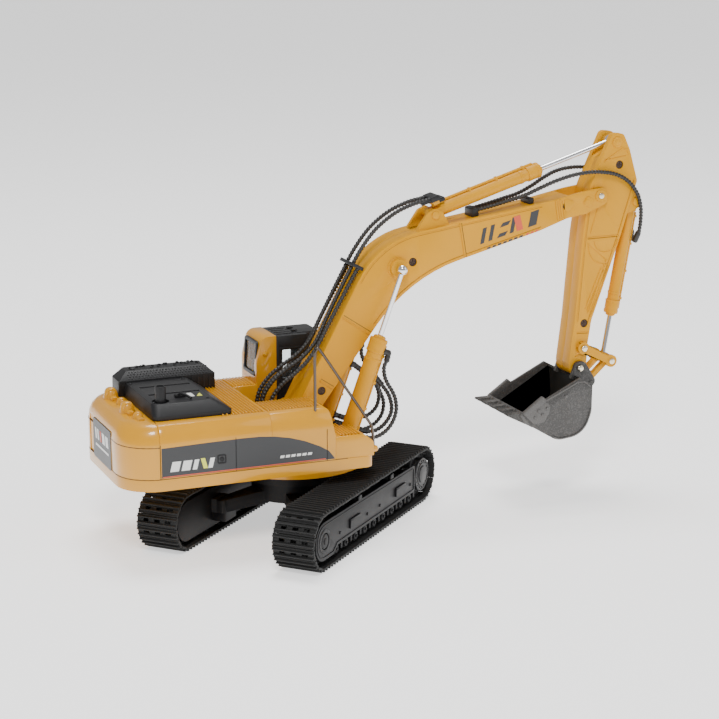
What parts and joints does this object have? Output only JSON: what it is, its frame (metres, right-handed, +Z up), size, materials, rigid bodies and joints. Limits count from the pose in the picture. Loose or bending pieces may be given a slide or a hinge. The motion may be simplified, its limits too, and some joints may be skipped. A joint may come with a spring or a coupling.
{
  "type": "toy excavator",
  "caption": "Small-scale crawler excavator toy with swinging house, cab, lifting boom, arm, linked bucket, cylinders and hoses on two tracks.",
  "frame": {"origin": "on the ground under the middle of the whole model's box", "axes": "+X from the counterweight towards the bucket, +Y to the machine's left (the cab side), +Z up"},
  "size_m": [0.2124, 0.124, 0.138],
  "materials": {
    "undercarriage_black": "satin moulded plastic",
    "track_black": "dull moulded rubbery plastic",
    "wheel_grey": "dark grey moulded plastic",
    "steel": "plain steel",
    "dark_screw": "dark zinc-plated screw",
    "house_yellow": "gloss warm yellow moulded plastic",
    "boom_yellow": "satin warm yellow moulded plastic",
    "cover_black": "fine-grained black plastic",
    "window": "clear plastic",
    "bucket_grey": "sandy gunmetal paint over cast metal",
    "chrome": "bright chrome",
    "pin_metal": "pale brassy pin heads",
    "hose_black": "ribbed soft black tube",
    "rail_steel": "dark blued wire"
  },
  "bodies": {
    "undercarriage": {"car_body": "undercarriage_black", "track_frame_right": "undercarriage_black", "track_frame_left": "undercarriage_black", "track_chain_right": "track_black", "track_chain_left": "track_black", "wheel_axles": "steel", "frame_screws": "steel"},
    "right_sprocket": {"sprocket_right": "wheel_grey"},
    "left_sprocket": {"sprocket_left": "wheel_grey"},
    "right_idler": {"idler_right": "wheel_grey"},
    "left_idler": {"idler_left": "wheel_grey"},
    "house": {"house_deck": "house_yellow", "slew_screw": "steel", "counterweight": "house_yellow", "engine_housing": "house_yellow", "right_cover": "house_yellow", "left_cover": "house_yellow", "front_step": "house_yellow", "engine_cover": "cover_black", "grille_box": "cover_black", "exhaust_pipe": "cover_black", "cab_rear_shell": "house_yellow", "cab_frame": "cover_black", "cab_windshield": "window", "cab_seat": "cover_black", "handrail": "rail_steel", "boom_foot_pin": "pin_metal", "boom_cylinder_foot_pins": "pin_metal"},
    "boom": {"boom_right_half": "boom_yellow", "boom_left_half": "boom_yellow", "boom_screws": "dark_screw", "boom_pins": "pin_metal", "hose_clamps": "cover_black", "long_hose_right": "hose_black", "long_hose_left": "hose_black", "short_hose_right": "hose_black", "short_hose_left": "hose_black"},
    "right_boom_barrel": {"boom_barrel_right": "boom_yellow", "loop_hoses_right": "hose_black"},
    "left_boom_barrel": {"boom_barrel_left": "boom_yellow", "loop_hoses_left": "hose_black"},
    "right_boom_rod": {"boom_rod_right": "chrome"},
    "left_boom_rod": {"boom_rod_left": "chrome"},
    "arm": {"arm_right_half": "boom_yellow", "arm_left_half": "boom_yellow", "arm_screws": "dark_screw", "arm_pins": "pin_metal", "arm_hose_right": "hose_black", "arm_hose_left": "hose_black"},
    "arm_cylinder_barrel": {"arm_barrel": "boom_yellow"},
    "arm_cylinder_rod": {"arm_rod": "chrome"},
    "bucket_cylinder_barrel": {"bucket_barrel": "boom_yellow"},
    "bucket_cylinder_rod": {"bucket_rod": "chrome"},
    "guide_link_pair": {"guide_links": "boom_yellow", "link_pin": "pin_metal"},
    "tipping_link": {"bucket_link": "boom_yellow"},
    "bucket_body": {"bucket": "bucket_grey"}
  },
  "joints": [
    {"name": "slew", "type": "hinge", "parent": "undercarriage", "child": "house", "pos_m": [-0.03497, 0, 0.024], "axis": [0, 0, 1], "continuous": true},
    {"name": "right_sprocket_spin", "type": "hinge", "parent": "undercarriage", "child": "right_sprocket", "pos_m": [0.0147, 0.01008, 0.0108], "axis": [-0.682, 0.7314, 0], "continuous": true},
    {"name": "right_idler_spin", "type": "hinge", "parent": "undercarriage", "child": "right_idler", "pos_m": [-0.04849, -0.04884, 0.0108], "axis": [-0.682, 0.7314, 0], "continuous": true},
    {"name": "left_sprocket_spin", "type": "hinge", "parent": "undercarriage", "child": "left_sprocket", "pos_m": [-0.02145, 0.04884, 0.0108], "axis": [-0.682, 0.7314, 0], "continuous": true},
    {"name": "left_idler_spin", "type": "hinge", "parent": "undercarriage", "child": "left_idler", "pos_m": [-0.08464, -0.01008, 0.0108], "axis": [-0.682, 0.7314, 0], "continuous": true},
    {"name": "boom_lift", "type": "hinge", "parent": "house", "child": "boom", "pos_m": [-0.03297, 0, 0.041], "axis": [0, -1, 0], "range_deg": [-15, 20]},
    {"name": "arm_swing", "type": "hinge", "parent": "boom", "child": "arm", "pos_m": [0.08653, 0, 0.115], "axis": [0, -1, 0], "range_deg": [-15, 20], "deforming": ["arm_hose_right", "arm_hose_left"]},
    {"name": "bucket_curl", "type": "hinge", "parent": "arm", "child": "bucket_body", "pos_m": [0.07933, 0, 0.0494], "axis": [0, -1, 0], "range_deg": [-12, 50]},
    {"name": "right_boom_cylinder_tilt", "type": "hinge", "parent": "house", "child": "right_boom_barrel", "pos_m": [-0.01977, 0, 0.0299], "axis": [0, -1, 0], "range_deg": [-13.94, 18.57]},
    {"name": "right_boom_rod_slide", "type": "slide", "parent": "right_boom_barrel", "child": "right_boom_rod", "axis": [0.3439, 0, 0.939], "range_m": [-0.00426, 0.00567]},
    {"name": "left_boom_cylinder_tilt", "type": "hinge", "parent": "house", "child": "left_boom_barrel", "pos_m": [-0.01977, 0, 0.0299], "axis": [0, -1, 0], "range_deg": [-13.94, 18.57]},
    {"name": "left_boom_rod_slide", "type": "slide", "parent": "left_boom_barrel", "child": "left_boom_rod", "axis": [0.3439, 0, 0.939], "range_m": [-0.00426, 0.00567]},
    {"name": "arm_cylinder_tilt", "type": "hinge", "parent": "boom", "child": "arm_cylinder_barrel", "pos_m": [0.01953, 0, 0.1116], "axis": [0, -1, 0], "range_deg": [-2.41, 3.19]},
    {"name": "arm_rod_slide", "type": "slide", "parent": "arm_cylinder_barrel", "child": "arm_cylinder_rod", "axis": [0.9553, 0, 0.2957], "range_m": [-0.00605, 0.00455]},
    {"name": "bucket_cylinder_tilt", "type": "hinge", "parent": "arm", "child": "bucket_cylinder_barrel", "pos_m": [0.10343, 0, 0.1115], "axis": [0, -1, 0], "range_deg": [-0.166, 0.534]},
    {"name": "bucket_rod_slide", "type": "slide", "parent": "bucket_cylinder_barrel", "child": "bucket_cylinder_rod", "axis": [-0.1689, 0, -0.9856], "range_m": [-0.00791, 0.00194]},
    {"name": "guide_link_swing", "type": "hinge", "parent": "arm", "child": "guide_link_pair", "pos_m": [0.08093, 0, 0.0569], "axis": [0, -1, 0], "range_deg": [-8.21, 34.07]},
    {"name": "tipping_link_swing", "type": "hinge", "parent": "guide_link_pair", "child": "tipping_link", "pos_m": [0.09303, 0, 0.0508], "axis": [0, -1, 0], "range_deg": [-21.27, 5.14]}
  ],
  "couplings": [
    {"joint": "right_idler_spin", "follows": "right_sprocket_spin", "ratio": 1},
    {"joint": "right_boom_cylinder_tilt", "follows": "boom_lift", "ratio": 0.908},
    {"joint": "right_boom_rod_slide", "follows": "boom_lift", "m_per_rad": 0.01578},
    {"joint": "left_idler_spin", "follows": "left_sprocket_spin", "ratio": 1},
    {"joint": "left_boom_cylinder_tilt", "follows": "boom_lift", "ratio": 0.908},
    {"joint": "left_boom_rod_slide", "follows": "boom_lift", "m_per_rad": 0.01578},
    {"joint": "arm_cylinder_tilt", "follows": "arm_swing", "ratio": 0.154},
    {"joint": "arm_rod_slide", "follows": "arm_swing", "m_per_rad": -0.01686},
    {"joint": "bucket_cylinder_tilt", "follows": "bucket_curl", "ratio": 0.0095},
    {"joint": "bucket_rod_slide", "follows": "bucket_curl", "m_per_rad": -0.00883},
    {"joint": "guide_link_swing", "follows": "bucket_curl", "ratio": 0.667},
    {"joint": "tipping_link_swing", "follows": "bucket_curl", "ratio": -0.416}
  ]
}
